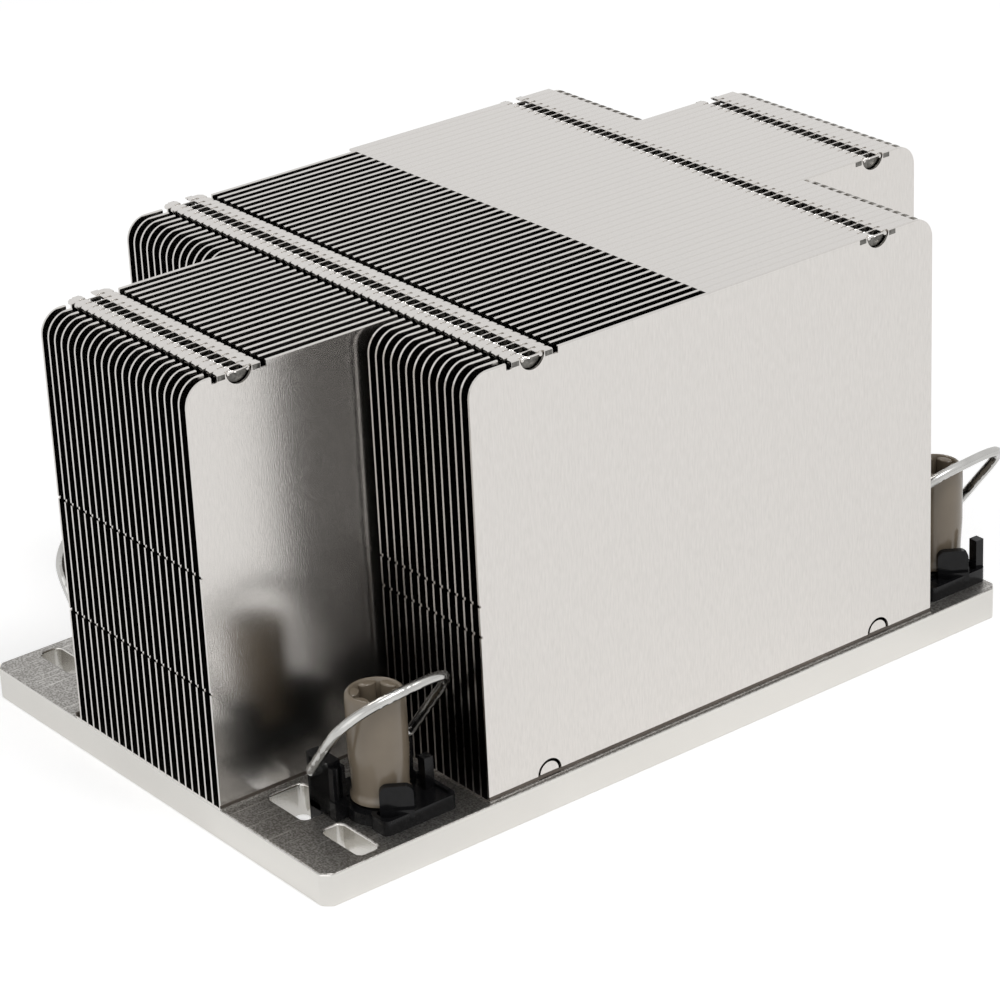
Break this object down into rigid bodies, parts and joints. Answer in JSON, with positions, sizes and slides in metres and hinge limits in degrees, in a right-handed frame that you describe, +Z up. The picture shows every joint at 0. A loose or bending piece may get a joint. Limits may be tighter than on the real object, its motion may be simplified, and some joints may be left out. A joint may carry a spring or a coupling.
{
  "type": "passive server cpu heatsink",
  "caption": "Passive finned heatsink for a server processor: thick base plate, stack of zipped sheet fins, captive corner nuts and wire bails.",
  "frame": {"origin": "bottom centre of the base plate, on the face that meets the processor", "axes": "+Z up through the fins, +X to the rear along the air flow, where the long fins overhang the plate, +Y to the left side"},
  "size_m": [0.123, 0.078, 0.064],
  "materials": {
    "nickel_plate": "satin nickel plating",
    "fin_sheet": "bright rolled sheet",
    "tan_plastic": "moulded, slightly glossy",
    "steel_wire": "bright drawn wire",
    "black_plastic": "moulded"
  },
  "bodies": {
    "root": {"base_plate": "nickel_plate", "short_fin_right_01": "fin_sheet", "short_fin_right_02": "fin_sheet", "short_fin_right_03": "fin_sheet", "short_fin_right_04": "fin_sheet", "short_fin_right_05": "fin_sheet", "short_fin_right_06": "fin_sheet", "short_fin_right_07": "fin_sheet", "short_fin_right_08": "fin_sheet", "short_fin_right_09": "fin_sheet", "short_fin_right_10": "fin_sheet", "short_fin_right_11": "fin_sheet", "short_fin_right_12": "fin_sheet", "short_fin_right_13": "fin_sheet", "short_fin_right_14": "fin_sheet", "long_fin_01": "fin_sheet", "long_fin_02": "fin_sheet", "long_fin_03": "fin_sheet", "long_fin_04": "fin_sheet", "long_fin_05": "fin_sheet", "long_fin_06": "fin_sheet", "long_fin_07": "fin_sheet", "long_fin_08": "fin_sheet", "long_fin_09": "fin_sheet", "long_fin_10": "fin_sheet", "long_fin_11": "fin_sheet", "long_fin_12": "fin_sheet", "long_fin_13": "fin_sheet", "long_fin_14": "fin_sheet", "long_fin_15": "fin_sheet", "long_fin_16": "fin_sheet", "long_fin_17": "fin_sheet", "long_fin_18": "fin_sheet", "long_fin_19": "fin_sheet", "long_fin_20": "fin_sheet", "long_fin_21": "fin_sheet", "long_fin_22": "fin_sheet", "short_fin_left_01": "fin_sheet", "short_fin_left_02": "fin_sheet", "short_fin_left_03": "fin_sheet", "short_fin_left_04": "fin_sheet", "short_fin_left_05": "fin_sheet", "short_fin_left_06": "fin_sheet", "short_fin_left_07": "fin_sheet", "short_fin_left_08": "fin_sheet", "short_fin_left_09": "fin_sheet", "short_fin_left_10": "fin_sheet", "short_fin_left_11": "fin_sheet", "short_fin_left_12": "fin_sheet", "short_fin_left_13": "fin_sheet", "front_retainers": "black_plastic", "rear_retainers": "black_plastic"},
    "nut_front_right": {"nut_front_right": "tan_plastic"},
    "bail_front_right": {"bail_front_right": "steel_wire"},
    "nut_front_left": {"nut_front_left": "tan_plastic"},
    "bail_front_left": {"bail_front_left": "steel_wire"},
    "nut_rear_right": {"nut_rear_right": "tan_plastic"},
    "bail_rear_right": {"bail_rear_right": "steel_wire"},
    "nut_rear_left": {"nut_rear_left": "tan_plastic"},
    "bail_rear_left": {"bail_rear_left": "steel_wire"}
  },
  "joints": [
    {"name": "nut_front_right_turn", "type": "hinge", "parent": "root", "child": "nut_front_right", "pos_m": [-0.0433, -0.03, 0.0135], "axis": [0, 0, 1], "continuous": true},
    {"name": "bail_front_right_swing", "type": "hinge", "parent": "root", "child": "bail_front_right", "pos_m": [-0.0433, -0.0257, 0.0112], "axis": [-1, 0, 0], "range_deg": [-69, 60]},
    {"name": "nut_front_left_turn", "type": "hinge", "parent": "root", "child": "nut_front_left", "pos_m": [-0.0433, 0.03, 0.0135], "axis": [0, 0, 1], "continuous": true},
    {"name": "bail_front_left_swing", "type": "hinge", "parent": "root", "child": "bail_front_left", "pos_m": [-0.0433, 0.0257, 0.0112], "axis": [1, 0, 0], "range_deg": [-69, 60]},
    {"name": "nut_rear_right_turn", "type": "hinge", "parent": "root", "child": "nut_rear_right", "pos_m": [0.055, -0.03, 0.0135], "axis": [0, 0, 1], "continuous": true},
    {"name": "bail_rear_right_swing", "type": "hinge", "parent": "root", "child": "bail_rear_right", "pos_m": [0.055, -0.0257, 0.0112], "axis": [-1, 0, 0], "range_deg": [-69, 60]},
    {"name": "nut_rear_left_turn", "type": "hinge", "parent": "root", "child": "nut_rear_left", "pos_m": [0.055, 0.03, 0.0135], "axis": [0, 0, 1], "continuous": true},
    {"name": "bail_rear_left_swing", "type": "hinge", "parent": "root", "child": "bail_rear_left", "pos_m": [0.055, 0.0257, 0.0112], "axis": [1, 0, 0], "range_deg": [-69, 60]}
  ]
}
